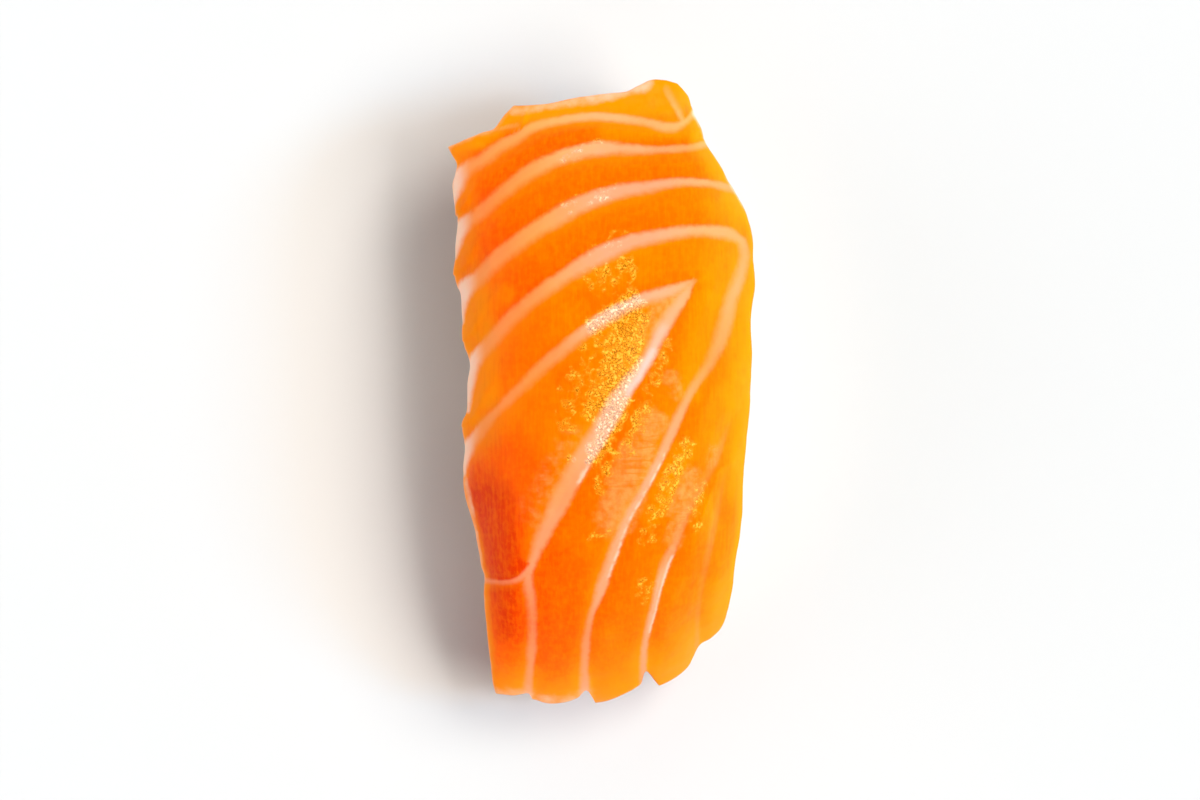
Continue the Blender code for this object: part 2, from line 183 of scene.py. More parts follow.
# Strokes over the slice where it differs from the rest: two ends, the reach to either side, and how strongly.
PATCHES = {
    "deep": (
        (-12.2, -12, -10.6, -18.4, 3.2, 1), (-12.6, -10.4, -12.4, -14, 2.6, 0.7),
        (-9.4, -20.8, -9, -24.2, 2.2, 0.95), (-11.4, -20.6, -11, -22.4, 2, 0.6),
        (-4.6, -18, -4.6, -24.5, 2.4, 0.35)),
    "amber": (
        (-15.5, 24.5, -14.6, 6, 2, 0.6), (-14.6, 6, -14.2, -2, 2.4, 0.9), (-15.4, 26.4, -12.9, 27, 1, 1),
        (-10.2, 29.4, -7, 30, 1, 0.8), (-10.5, 4, -4.5, 7, 3, 0.25), (-9.5, 0.5, -4, -3.5, 3.4, 0.3),
        (-12.8, -3.6, -10.2, -1.6, 2.4, 0.5), (-13.7, 10, -12.6, 0, 2.2, 0.9),
        (-13.9, -11, -12.8, -17.2, 0.8, 0.6), (-0.5, 1.5, 2, 6, 3, 0.25), (0, 12.4, 4, 13.4, 2, 0.25),
        (8.5, -6.2, 5, -12.5, 1.2, 0.35), (1, -26, 0.5, -30, 1.8, 0.25), (7.6, -20.5, 7.2, -28, 1.8, 0.15),
        (15, 13, 14.6, -10, 1.4, 0.4), (-8, 30.3, 7, 31.3, 2.2, 1), (1, 28, 9.5, 28.4, 1.4, 0.6),
        (10.5, 28.4, 15.4, 20, 1.8, 0.9), (10.8, 9.5, 9.4, 0.5, 1.4, 0.4), (-12.6, 9, -10.4, 10.4, 1.2, 0.5),
        (-11.4, -0.6, -8.4, 1.6, 1, 0.4)),
    "filmy": (
        (5.4, -3, 3.6, -7.5, 1.5, 0.9), (3, -6, 1.6, -9.2, 1.2, 0.9), (3.5, -8, 1.4, -13, 1.9, 1),
        (9.3, -9, 8.4, -12.2, 1.4, 0.75), (11.9, -5.8, 11.7, -7.2, 0.7, 0.3),
        (8.6, 10.8, 6.6, 8.6, 0.9, 1.1), (-2.6, -5.2, -6.6, -12, 2, 0.35), (5.8, 8.6, 4.6, 6.2, 1, 0.6),
        (8.2, -13.5, 7.4, -15.5, 1, 0.55), (7.3, 1.6, 8, 0.2, 0.9, 0.45)),
    # Wet film: real gloss and slanting facets, and painted glints.
    "wet": (
        (-0.4, 15.2, 2, 16.6, 1, 0.35), (-0.4, 11.9, 2.6, 13.2, 1.4, 0.55),
        (-0.7, 7.1, 3.3, 9.9, 1.05, 1.15), (2.8, 8.4, 1.8, 2.4, 2, 1.1), (3.6, 3.4, 2.4, 0.4, 0.9, 0.9),
        (1.4, 2, -0.2, -1.6, 1.7, 0.95), (-0.8, 5.4, -1.8, -0.4, 1.6, 0.4),
        (2.2, -0.6, -0.7, -6.4, 1.1, 1.15), (6.8, 5, 5, 0.6, 0.8, 0.55), (4.5, -1.2, 2.9, -5.6, 0.9, 0.5),
        (1.2, -6.4, -0.2, -9.8, 1, 0.5), (9, -5.2, 7.7, -8, 0.8, 0.85), (7.7, -8, 4.6, -15, 1, 0.6),
        (10.6, -9.6, 9.7, -13.6, 0.9, 0.5), (-3, 1.4, -3.5, -2.6, 1.4, 0.45),
        (-3.1, -6.6, -3.3, -6.9, 0.5, 0.8), (4.8, -19.6, 4.2, -21.2, 0.9, 0.45),
        (-1.2, -15, 1, -14.4, 0.5, 0.4), (-4.5, 23.9, -0.5, 26.3, 0.8, 0.3),
        (-3.6, 19.6, 0.8, 21.4, 1, 0.35)),
    # Smooth fat: real gloss, and a painted sheen.
    "smooth": (
        (6.6, 6.4, 5.5, 4.2, 0.8, 0.35), (5.5, 4.2, 4.4, 1.9, 0.65, 0.9), (4.4, 1.9, 3.2, 0.3, 0.65, 0.8)),
    # Where a painted highlight runs along a sheet's sharp side.
    "crisp": (
        (-1, -7, -2.3, -8.8, 0.6, 0.6), (6.2, -6.6, 0.4, -19, 0.8, 0.55), (7, -17.8, 5.3, -24.4, 0.8, 0.9)),
    "pale": (
        (-9.2, 30.4, -1, 31.7, 1.1, 0.4), (-1, 31.7, 4.4, 32.8, 1.2, 0.52),
        (-6.6, -32.9, -3, -32.9, 1.1, 0.4), (-11.6, -32, -8.6, -32.2, 0.8, 0.25),
        (10.4, 29.6, 13.2, 24.4, 0.8, 0.6), (13.2, 24.4, 15.4, 20, 0.7, 0.5),
        (-14.3, -9, -13.4, -14.6, 0.4, 0.4), (-13.4, -14.6, -12.8, -19.5, 0.4, 0.5),
        (-12.8, -19.5, -12, -30.5, 0.4, 0.4)),
}

# What often comes up in the node trees: kinds of node with their settings.
PLUS, MINUS, TIMES, OVER, TIMES_PLUS, LARGER, UNSIGNED = (
    ("ShaderNodeMath", {"operation": name})
    for name in ("ADD", "SUBTRACT", "MULTIPLY", "DIVIDE", "MULTIPLY_ADD", "MAXIMUM", "ABSOLUTE")
)
VECTOR_PLUS, VECTOR_MINUS, SCALED, CROSSED, LENGTH, NORMALIZED = (
    ("ShaderNodeVectorMath", {"operation": name})
    for name in ("ADD", "SUBTRACT", "SCALE", "CROSS_PRODUCT", "LENGTH", "NORMALIZE")
)
RAMP, SOFT, SOFTER = (
    ("ShaderNodeMapRange", {"interpolation_type": name}) for name in ("LINEAR", "SMOOTHSTEP", "SMOOTHERSTEP")
)
SPLIT, JOINED = ("ShaderNodeSeparateXYZ", {}), ("ShaderNodeCombineXYZ", {})
MOVED = ("GeometryNodeSetPosition", {})
NOISE = ("ShaderNodeTexNoise", {})
MIX = ("ShaderNodeMix", {"data_type": "RGBA"})
MARK = ("GeometryNodeInputNamedAttribute", {"data_type": "FLOAT"})
STORE = "GeometryNodeStoreNamedAttribute"


def linear(hex_colour):
    """A linear RGBA colour from an sRGB hex value."""
    shares = [int(hex_colour[start:start + 2], 16) / 255 for start in (1, 3, 5)]
    return (*[((c + 0.055) / 1.055) ** 2.4 if c > 0.04045 else c / 12.92 for c in shares], 1.0)


def length(name, description, default):
    """A size that the user may change."""
    return FloatProperty(name=name, description=description, default=default, unit="LENGTH")


def paint(name, description, hex_colour):
    """A colour that the user may change."""
    return FloatVectorProperty(
        name=name, description=description, subtype="COLOR", size=4, default=linear(hex_colour),
    )


class NigiriSlice(bpy.types.PropertyGroup):
    """Sizes and colours of the slice of salmon."""

    thickness: length("Thickness", "Thickness of the slice", SLICE_DEPTH * MM)
    edge_rounding: IntProperty(
        name="Edge rounding", description="How many times the cut edge's corners are smoothed", default=1,
    )
    flake_swell: length("Flake swell", "How far each flake swells out between two sheets of fat", 0.18 * MM)
    fat_sink: length("Fat sink", "How far the fat lies below the flesh beside it", 0.05 * MM)
    flake_step: length("Flake step", "Height of the step from one flake down to the next", 0.11 * MM)
    flesh: paint("Flesh", "Muscle on the slice's left", "#ff6000")
    # The right flank's flesh is painted paler, as painted light where the lamps fall.
    flesh_painted_lit: paint("Pale flesh", "Muscle on the slice's right", "#ff6e00")
    # Also painted over the right flank beyond the paler flesh, as painted light where the lamps fall.
    flesh_amber_and_painted_lit: paint("Amber flesh", "Muscle where the slice thins to its hem", "#ff9400")
    flesh_deep: paint("Deep flesh", "The darkest and reddest muscle", "#e43c00")
    fat: paint("Fat", "The sheets of fat over the crown", "#fb9b70")
    fat_left: paint("Left fat", "The sheets of fat on the slice's left", "#fb9c54")
    hem: paint("Hem", "Fat along the left hem, and the slice's thin rim", "#fdd6ba")


class NigiriRice(bpy.types.PropertyGroup):
    """Sizes and colours of the rice."""

    grain_length: length("Grain length", "Length of a cooked grain", 6.4 * MM)
    grain_width: length("Grain width", "Width of a cooked grain", 2.9 * MM)
    spacing: length("Spacing", "Least distance between the middles of two grains", 2.5 * MM)
    seed: IntProperty(name="Seed", description="Which random arrangement of grains is made", default=4)
    grain: paint("Grain", "Cooked rice", "#f4efe4")


class NigiriStage(bpy.types.PropertyGroup):
    """Floor, camera and lights."""

    floor: paint("Floor", "Table top", "#d2d6d1")
    floor_size: length("Floor size", "Side of the table top", 2.4)
    camera_distance: length("Camera distance", "From the camera down to the slice's hem", 0.9)
    view_width: length("View width", "Width that the camera sees at the slice's hem", 126.9 * MM)
    light: FloatProperty(name="Light", description="Strength of all the lamps and the room", default=1.0)


def fill(tree, pairs):
    """Gives sockets their values: another node's output, the input's own value or a colour's hex value."""
    for socket, value in pairs:
        if isinstance(value, bpy.types.NodeSocket):
            tree.links.new(value, socket)
        elif value is not None:
            hex_colour = socket.type == "RGBA" and isinstance(value, str)
            socket.default_value = linear(value) if hex_colour else value


def add(tree, kind, settings=None, *values, output=0, **named):
    """Adds a node to a tree and returns one of its outputs.

    The settings are its properties. Values go to its inputs in order, where None leaves one as it is, and
    named values go to the inputs of those names.
    """
    node = tree.nodes.new(kind)
    for key, value in (settings or {}).items():
        setattr(node, key, value)
    inputs = [socket for socket in node.inputs if socket.enabled]
    fill(tree, zip(inputs, values))
    for key, value in named.items():
        fill(tree, [(socket, value) for socket in inputs if socket.name == key.replace("_", " ")])
    return [socket for socket in node.outputs if socket.enabled][output]


def new_tree(name, sockets):
    """A Geometry Nodes tree with the named inputs, and its Group Input node's outputs."""
    tree = bpy.data.node_groups.new(name, "GeometryNodeTree")
    tree.interface.new_socket("Geometry", in_out="OUTPUT", socket_type="NodeSocketGeometry")
    for label, kind in {"Geometry": "Geometry", **sockets}.items():
        tree.interface.new_socket(label, in_out="INPUT", socket_type="NodeSocket" + kind)
    return tree, tree.nodes.new("NodeGroupInput").outputs


def finish_tree(tree, geometry, material):
    """Ends a tree in real, painted geometry."""
    real = add(tree, "GeometryNodeRealizeInstances", {}, geometry)
    painted = add(tree, "GeometryNodeSetMaterial", {}, real, None, material)
    tree.links.new(painted, tree.nodes.new("NodeGroupOutput").inputs[0])


def run_tree(made, tree, look, more):
    """Runs a tree on an object, and keeps the result as the object's plain mesh.

    Each of the tree's inputs takes the look's property of its name, or one of the values given besides.
    """
    modifier = made.modifiers.new(tree.name, "NODES")
    modifier.node_group = tree
    values = {kind.name: getattr(look, kind.identifier) for kind in look.bl_rna.properties} | more
    for item in tree.interface.items_tree:
        if item.in_out == "INPUT" and item.name in values:
            modifier[item.identifier] = values[item.name]
    evaluated = made.evaluated_get(bpy.context.evaluated_depsgraph_get())
    mesh = bpy.data.meshes.new_from_object(evaluated)
    made.modifiers.clear()
    made.data = mesh


def new_object(name, mesh):
    made = bpy.data.objects.new(name, mesh)
    bpy.context.scene.collection.objects.link(made)
    return made


def new_mesh(name, points, edges, faces):
    """A smooth mesh from points in millimetres at the slice's nominal size."""
    mesh = bpy.data.meshes.new(name)
    mesh.from_pydata((points * FRAME_SCALE).tolist(), edges, faces)
    mesh.shade_smooth()
    return mesh


# ---- the slice's form ----


def smooth_path(points, per_span=10):
    """A Catmull-Rom curve through the points."""
    points = np.array(points, float)
    padded = np.vstack([2 * points[0] - points[1], points, 2 * points[-1] - points[-2]])
    t = np.linspace(0, 1, per_span, endpoint=False)[:, None]
    spans = []
    for a, b, c, d in zip(padded, padded[1:], padded[2:], padded[3:]):
        bend = t**2 * (2 * a - 5 * b + 4 * c - d) + t**3 * (3 * b - a - 3 * c + d)
        spans.append(b + t * (c - a) / 2 + bend / 2)
    return np.vstack([*spans, points[-1]])


def path_run(path):
    """The distance from the path's start to each of its points."""
    steps = np.linalg.norm(np.diff(path, axis=0), axis=1)
    return np.concatenate([[0], np.cumsum(steps)])


def read_path(path, shares):
    """The points at the given shares of the path's length."""
    run = path_run(path)
    return np.stack([np.interp(shares * run[-1], run, path[:, axis]) for axis in (0, 1)], axis=1)


def stroked_points(strokes, count):
    """Evenly spread points along smooth strokes joined end to end, with one of them on each corner."""
    paths = [smooth_path(stroke) for stroke in strokes]
    lengths = [path_run(path)[-1] for path in paths]
    stops = np.round(np.cumsum([0, *lengths]) / sum(lengths) * count).astype(int)
    points = [read_path(path, np.linspace(0, 1, stop - start, endpoint=False))
              for path, start, stop in zip(paths, stops, stops[1:])]
    return np.vstack([*points, paths[-1][-1]])


def slice_plan(across, along):
    """Plan positions of a grid over the slice in mm, row by row from the near end."""
    s, t = np.linspace(0, 1, across + 1), np.linspace(0, 1, along + 1)
    near, far = stroked_points(NEAR_END, across), stroked_points(FAR_END, across)
    left, right = read_path(smooth_path(LEFT_HEM), t), read_path(smooth_path(RIGHT_HEM), t)
    s, t = s[None, :, None], t[:, None, None]
    between_ends = (1 - t) * near[None] + t * far[None]
    between_sides = (1 - s) * left[:, None] + s * right[:, None]
    corners = (1 - s) * ((1 - t) * near[0] + t * far[0]) + s * ((1 - t) * near[-1] + t * far[-1])
    return between_ends + between_sides - corners


def shoulder_drop(distance, shoulder):
    """How far a shoulder has sunk in mm, at a distance that is 0 on the crown and 1 on the fair line."""
    drop, squareness, turn = shoulder
    rest = 1 - turn**squareness
    sunk_at_line = 1 - rest ** (1 / squareness)
    slope_at_line = turn**squareness * rest ** (1 / squareness - 1)
    turned = np.clip(turn * distance, 0, turn)
    sunk = 1 - (1 - turned**squareness) ** (1 / squareness)
    return drop * (sunk + slope_at_line * np.maximum(distance - 1, 0)) / sunk_at_line


def top_height(x, y):
    """Height of the slice's top face in mm, as if it ran on straight beyond the outline."""
    left, right, near, far = (smooth_path(line) for line in (FAIR_LEFT, FAIR_RIGHT, FAIR_NEAR, FAIR_FAR))
    side_reach = np.where(x < 0, np.interp(y, left[:, 1], left[:, 0]), np.interp(y, right[:, 1], right[:, 0]))
    near_reach = np.interp(x, near[:, 0], near[:, 1])
    far_reach = np.interp(x, far[:, 0], far[:, 1])
    side = shoulder_drop(x / side_reach, SIDE_SHOULDER)
    near_end = shoulder_drop(y / near_reach, NEAR_SHOULDER)
    far_end = shoulder_drop(y / far_reach, FAR_SHOULDER)
    sunk = side**SHOULDER_BLEND + near_end**SHOULDER_BLEND + far_end**SHOULDER_BLEND
    return NOMINAL[2] - sunk ** (1 / SHOULDER_BLEND)


def height_below(x, y, depth):
    """Height in mm of the surface that lies the given depth under the top face, square to it."""
    tilts, turns = np.linspace(0, math.pi / 2, 9)[1:], np.linspace(0, 2 * math.pi, 20, endpoint=False)
    lowest = top_height(x, y) - depth
    for tilt in tilts:
        for turn in turns:
            out = depth * math.sin(tilt)
            around = top_height(x + out * math.cos(turn), y + out * math.sin(turn))
            lowest = np.minimum(lowest, around - depth * math.cos(tilt))
    return lowest


def border(grid):
    """The grid's outer entries, anticlockwise from the near left corner."""
    return np.concatenate([grid[0, :-1], grid[:-1, -1], grid[-1, :0:-1], grid[:0:-1, 0]])


def grid_faces(numbers):
    corners = (numbers[:-1, :-1], numbers[:-1, 1:], numbers[1:, 1:], numbers[1:, :-1])
    return np.stack(corners, axis=-1).reshape(-1, 4)


def band_faces(upper, lower):
    return np.stack([lower, np.roll(lower, -1), np.roll(upper, -1), upper], axis=1)


def thin_share(plan):
    """How thin the slice looks at each point of the grid: 1 on its outline, 0 further in than the reach."""
    sides = (plan.shape[1] - 1, plan.shape[0] - 1) * 2
    outline, reach = border(plan), np.repeat(THIN_REACH, sides)
    rows = [np.linalg.norm(row[:, None] - outline, axis=2) for row in plan]
    return np.array([np.clip(1 - apart / reach, 0, 1).max(axis=1) for apart in rows])


def patch_share(label, places):
    """How strongly the named strokes lie over the places: fully to half their reach, not at all past 1.5."""
    shares = []
    for *ends, reach, strength in PATCHES[label]:
        start, end = np.reshape(ends, (2, 2))
        run = end - start
        along = np.clip((places - start) @ run / (run @ run), 0, 1)
        apart = np.linalg.norm(places - start - along[:, None] * run, axis=1)
        rise = np.clip(1.5 - apart / reach, 0, 1)
        shares.append(strength * rise**2 * (3 - 2 * rise))
    return np.maximum.reduce(shares)


def store_marks(mesh, marks):
    for label, values in marks.items():
        mesh.attributes.new(label, "FLOAT", "POINT").data.foreach_set("value", np.float32(values))


def slice_mesh(thickness):
    """The smooth draped slice: top face, underside, and rings round its slanting cut edge.

    Its attribute "rim" is 1 on the cut edge's two corners and fades out over the next millimetre or so.
    "Outside" is 1 on the top face and fades down the cut edge to 0 on the underside, and "thin" is 1 round
    the top face. There is one more for the strokes of each name.
    """
    plan = slice_plan(*SLICE_GRID)
    inset = plan * (1 - BIAS_CUT / (NOMINAL[:2] / 2))
    top = np.dstack([plan, top_height(plan[..., 0], plan[..., 1])])
    under = np.dstack([inset, height_below(inset[..., 0], inset[..., 1], thickness / MM)])
    upper_ring, lower_ring = border(top), border(under)
    run = np.roll(upper_ring, -1, axis=0) - np.roll(upper_ring, 1, axis=0)
    outwards = np.cross(run, upper_ring - lower_ring)
    outwards /= np.linalg.norm(outwards, axis=1, keepdims=True)
    rings = []
    for share in np.linspace(0, 1, CUT_RINGS + 2)[1:-1]:
        bulge = EDGE_BULGE * math.sin(math.pi * share) * outwards
        rings.append((1 - share) * upper_ring + share * lower_ring + bulge)

    numbers = np.arange(plan.shape[0] * plan.shape[1]).reshape(plan.shape[:2])
    under_numbers = numbers + numbers.size
    ring_numbers = 2 * numbers.size + np.arange(len(rings) * len(upper_ring)).reshape(len(rings), -1)
    loops = [border(numbers), *ring_numbers, border(under_numbers)]
    faces = [grid_faces(numbers), grid_faces(under_numbers[::-1])]
    faces += [band_faces(upper, lower) for upper, lower in zip(loops, loops[1:])]
    points = np.vstack([top.reshape(-1, 3), under.reshape(-1, 3), *rings])
    mesh = new_mesh("salmon_slice_looks", points, [], np.vstack(faces).tolist())

    rows, columns = np.indices(numbers.shape)
    steps_in = np.minimum.reduce([rows, columns, rows[::-1], columns[:, ::-1]]).ravel()
    rings_in = np.minimum(np.arange(1, CUT_RINGS + 1), np.arange(CUT_RINGS, 0, -1)).repeat(len(upper_ring))
    rim = np.clip(1 - np.concatenate([steps_in, steps_in, rings_in]) / RIM_RINGS, 0, 1)
    down_edge = np.linspace(1, 0, CUT_RINGS + 2)[1:-1].repeat(len(upper_ring))
    underside = np.zeros(numbers.size)
    store_marks(mesh, {
        "rim": rim,
        "outside": np.concatenate([np.ones(numbers.size), underside, down_edge]),
        "thin": np.concatenate([thin_share(plan).ravel(), underside, np.clip(2 * down_edge - 1, 0, 1)]),
        **{label: patch_share(label, points[:, :2]) for label in PATCHES},
    })
    return mesh


def fat_sheet_lines():
    """The sheets of fat as flat polylines on the table, with their half width and strength at each point."""
    points, edges = [], []
    for line in FAT_SHEETS.values():
        edges += [(number, number + 1) for number in range(len(points), len(points) + len(line) - 1)]
        points += line
    points = np.array(points)
    places = np.column_stack([points[:, :2], np.zeros(len(points))])
    mesh = new_mesh("fat_sheet_lines", places, edges, [])
    store_marks(mesh, {"half_width": points[:, 2] / 2 * MM, "strength": points[:, 3]})
    return new_object("fat_sheet_lines", mesh)


def flake_tree():
    """Geometry Nodes that round the cut edge, mark the fat along its lines and swell the flakes between."""
    tree, given = new_tree("flakes and fat", {
        "Fat lines": "Object", "Edge rounding": "Int", "Flake swell": "Float", "Fat sink": "Float",
        "Flake step": "Float", "Material": "Material",
    })
    put = partial(add, tree)

    lines = put("GeometryNodeObjectInfo", {}, given["Fat lines"]).node.outputs["Geometry"]
    curve = put("GeometryNodeMeshToCurve", {}, lines)
    curve = put("GeometryNodeCurveSplineType", {"spline_type": "CATMULL_ROM"}, curve)
    curve = put("GeometryNodeResampleCurve", {"mode": "LENGTH"}, curve, Length=0.15 * MM)
    points = put("GeometryNodeCurveToPoints", {"mode": "EVALUATED"}, curve)
    here = put("GeometryNodeInputPosition")
    apart = put(*SPLIT, here).node.outputs
    flat = put(*JOINED, apart["X"], apart["Y"], 0.0)
    nearest = put("GeometryNodeSampleNearest", {"domain": "POINT"}, points, flat)
    seat, tangent, half, strength = (
        put("GeometryNodeSampleIndex", {"data_type": kind, "domain": "POINT"}, points, value, nearest)
        for kind, value in (
            ("FLOAT_VECTOR", here), ("FLOAT_VECTOR", points.node.outputs["Tangent"]),
            ("FLOAT", put(*MARK, "half_width")), ("FLOAT", put(*MARK, "strength")),
        )
    )

    # How far each place is from the sheet's edge, on which side of the sheet, and how far past its left edge.
    # A narrow sheet's edges are crisper.
    away = put(*VECTOR_MINUS, flat, seat)
    gap = put(*MINUS, put(*LENGTH, away), half)
    gap = put(*TIMES, gap, put(*RAMP, half, 0.25 * MM, 0.7 * MM, 2.0, 1.0))
    crossed = put(*CROSSED, tangent, away)
    leftwards = put(*SPLIT, crossed, output=2)
    inner = put(*SOFT, leftwards, 0.25 * MM, -0.25 * MM)
    beyond = put(*MINUS, leftwards, half)
    mesh = given["Geometry"]
    marks = {"fat_gap": gap, "fat_inner": inner, "fat_beyond": beyond, "fat_strength": strength}
    for label, value in marks.items():
        mesh = put(STORE, {"data_type": "FLOAT", "domain": "POINT"}, mesh, None, label, value)

    rounded = put("GeometryNodeBlurAttribute", {"data_type": "FLOAT_VECTOR"}, here, given["Edge rounding"],
                  put(*MARK, "rim"))
    mesh = put(*MOVED, mesh, Position=rounded)

    gap, beyond, strength, outside = (
        put(*MARK, label) for label in ("fat_gap", "fat_beyond", "fat_strength", "outside")
    )
    swell = put(*SOFTER, gap, -0.5 * MM, 2.6 * MM, 0.0, given["Flake swell"])
    sink = put(*SOFT, gap, 0.25 * MM, -0.35 * MM, 0.0, given["Fat sink"])
    lee = put(*SOFT, gap, 2.4 * MM, 0.1 * MM, 0.0, given["Flake step"])
    side = put(*SOFT, beyond, -0.22 * MM, 0.22 * MM, 0.5, -0.5)
    relief = put(*MINUS, put(*TIMES, lee, side), sink)
    relief = put(*PLUS, put(*TIMES, relief, strength), swell)

    # Slow waves and fine ripples cross the flakes. The waves only sink them, and the slice grows no higher.
    wave_depth = 0.45 * MM
    for size, depth in ((7.0 * MM, wave_depth), (1.6 * MM, 0.08 * MM)):
        relief = put(*TIMES_PLUS, put(*NOISE, here, 1 / size, 2.0), depth, relief)
    shown = put(*TIMES, put(*MINUS, relief, wave_depth), outside)
    offset = put(*SCALED, put("GeometryNodeInputNormal"), Scale=shown)
    mesh = put(*MOVED, mesh, Offset=offset)
    finish_tree(tree, mesh, given["Material"])
    return tree


# ---- the rice ----

RICE_LOW, RICE_HIGH = (np.array(corner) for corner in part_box("rice_bed"))
RICE_HALF = (RICE_HIGH - RICE_LOW)[:2] / 2 / FRAME_SCALE[:2]  # mm, across and along
RICE_WAIST = 6.8  # mm above the table, where the rice is widest
RICE_CROWN = 25.0  # mm above the table, before the slice presses it down
RICE_FOOT = 0.3  # mm that the core stays above the table
RICE_SUNK = 1.12  # how far the egg reaches down from its waist, in waist heights, before its foot is cut flat
RICE_SQUARENESS = 0.80
RICE_FULLNESS = 0.45
RICE_GRID = (96, 40)  # points round the core, and from its foot up
GRAIN_DEPTH = 1.7  # mm from the middle of the grains out to the rice's outline
RICE_GAP = 0.4  # mm between the slice and the rice's outline


def signed_power(values, exponent):
    return np.copysign(np.abs(values) ** exponent, values)


def rice_core(depth):
    """The squared-off egg of pressed rice, this many mm inside its outline and clear of the slice."""
    turns = np.linspace(0, 2 * math.pi, RICE_GRID[0], endpoint=False)
    rises = np.linspace(-math.pi / 2, math.pi / 2, RICE_GRID[1])[1:-1]
    turn, rise = np.meshgrid(turns, rises)
    reach = np.cos(rise) ** RICE_FULLNESS
    x = signed_power(np.cos(turn), RICE_SQUARENESS) * reach * (RICE_HALF[0] - depth)
    y = signed_power(np.sin(turn), RICE_SQUARENESS) * reach * (RICE_HALF[1] - depth)
    height = np.where(rise > 0, RICE_CROWN - RICE_WAIST - depth, RICE_SUNK * RICE_WAIST)
    z = RICE_WAIST + height * signed_power(np.sin(rise), RICE_SQUARENESS)
    egg = np.stack([x, y, z], axis=-1).reshape(-1, 3)
    points = np.vstack([(0.0, 0.0, 0.0), egg, (0.0, 0.0, RICE_CROWN)])
    ceiling = height_below(points[:, 0], points[:, 1], SLICE_DEPTH + RICE_GAP + depth)
    points[:, 2] = np.clip(np.minimum(points[:, 2], ceiling), RICE_FOOT, None)
    rings = 1 + np.arange(len(egg)).reshape(rise.shape)
    base, summit = np.zeros_like(rings[0]), np.full_like(rings[0], len(egg) + 1)
    faces = [face for lower, upper in zip(rings, rings[1:]) for face in band_faces(upper, lower).tolist()]
    faces += np.stack([base, np.roll(rings[0], -1), rings[0]], axis=1).tolist()
    faces += np.stack([summit, rings[-1], np.roll(rings[-1], -1)], axis=1).tolist()
    return new_mesh("rice_core", points, [], faces)


def grain_tree():
    """Geometry Nodes that press cooked grains onto the core, each at its own slant, and onto the table."""
    tree, given = new_tree("rice grains", {
        "Grain length": "Float", "Grain width": "Float", "Spacing": "Float", "Seed": "Int",
        "Material": "Material",
    })
    put = partial(add, tree)
    core, seed, long, wide = (given[name] for name in ("Geometry", "Seed", "Grain length", "Grain width"))

    # One grain: a slightly flattened ball, stretched and bent.
    ball = put("GeometryNodeMeshUVSphere", {}, Segments=12, Rings=8, Radius=0.5)
    ball = put("GeometryNodeSetShadeSmooth", {}, ball)
    upright = put("GeometryNodeTransform", {}, ball, Rotation=(0.0, math.pi / 2, 0.0))
    size = put(*JOINED, long, wide, put(*TIMES, wide, 0.86))
    grain = put("GeometryNodeTransform", {}, upright, Scale=size)
    here = put("GeometryNodeInputPosition")
    share = put(*OVER, put(*SPLIT, here), long)
    bend = put(*TIMES, put(*TIMES, share, share), 1.6 * MM)
    bent = put(*JOINED, 0.0, bend, bend)
    grain = put(*MOVED, grain, Offset=bent)

    # The grains lie spread over the core, each with its own slant, size and shade.
    points = put("GeometryNodeDistributePointsOnFaces", {"distribute_method": "POISSON"}, core,
                 Distance_Min=given["Spacing"], Density_Max=1.5e6, Seed=seed).node.outputs
    random_vector = ("FunctionNodeRandomValue", {"data_type": "FLOAT_VECTOR"})
    slant = put(*random_vector, (-0.3, -0.3, 0.0), (0.3, 0.3, 2 * math.pi), Seed=seed)
    turned = put("FunctionNodeRotateRotation", {"rotation_space": "LOCAL"}, points["Rotation"],
                 put("FunctionNodeEulerToRotation", {}, slant))
    scale = put(*random_vector, (0.78, 0.86, 0.86), (1.06, 1.1, 1.1), Seed=put(*PLUS, seed, 11.0))
    lift = put(*SCALED, points["Normal"], Scale=0.35 * MM)
    seats = put(*MOVED, points["Points"], Offset=lift)
    grains = put("GeometryNodeInstanceOnPoints", {}, seats, Instance=grain, Rotation=turned, Scale=scale)
    shade = put("FunctionNodeRandomValue", {"data_type": "FLOAT"}, 0.0, 1.0, Seed=put(*PLUS, seed, 5.0))
    grains = put(STORE, {"data_type": "FLOAT", "domain": "INSTANCE"}, grains, None, "grain_shade", shade)
    grains = put("GeometryNodeRealizeInstances", {}, grains)

    # Pressing dents them, and those at the foot flatten on the table.
    dents = put(*NOISE, here, 1 / (2.6 * MM), 1.0, output=1)
    dents = put(*SCALED, put(*VECTOR_MINUS, dents, (0.5, 0.5, 0.5)), Scale=1.1 * MM)
    grains = put(*MOVED, grains, Offset=dents)
    apart = put(*SPLIT, here).node.outputs
    above_table = put(*LARGER, apart["Z"], 0.0)
    landed = put(*JOINED, apart["X"], apart["Y"], above_table)
    grains = put(*MOVED, grains, Position=landed)

    heap = tree.nodes.new("GeometryNodeJoinGeometry")
    tree.links.new(core, heap.inputs[0])
    tree.links.new(grains, heap.inputs[0])
    finish_tree(tree, heap.outputs[0], given["Material"])
    return tree


# ---- the materials ----


def new_material(name):
    """A material with its node tree, and the place on its piece as Object coordinates in metres."""
    material = bpy.data.materials.new(name)
    material.use_nodes = True
    tree = material.node_tree
    return material, tree, add(tree, "ShaderNodeTexCoord").node.outputs["Object"]


def finish_material(material, looks):
    """Gives the shader its values, by the names of its sockets."""
    tree = material.node_tree
    inputs = tree.nodes["Principled BSDF"].inputs
    fill(tree, [(inputs[name], value) for name, value in looks.items()])
    return material


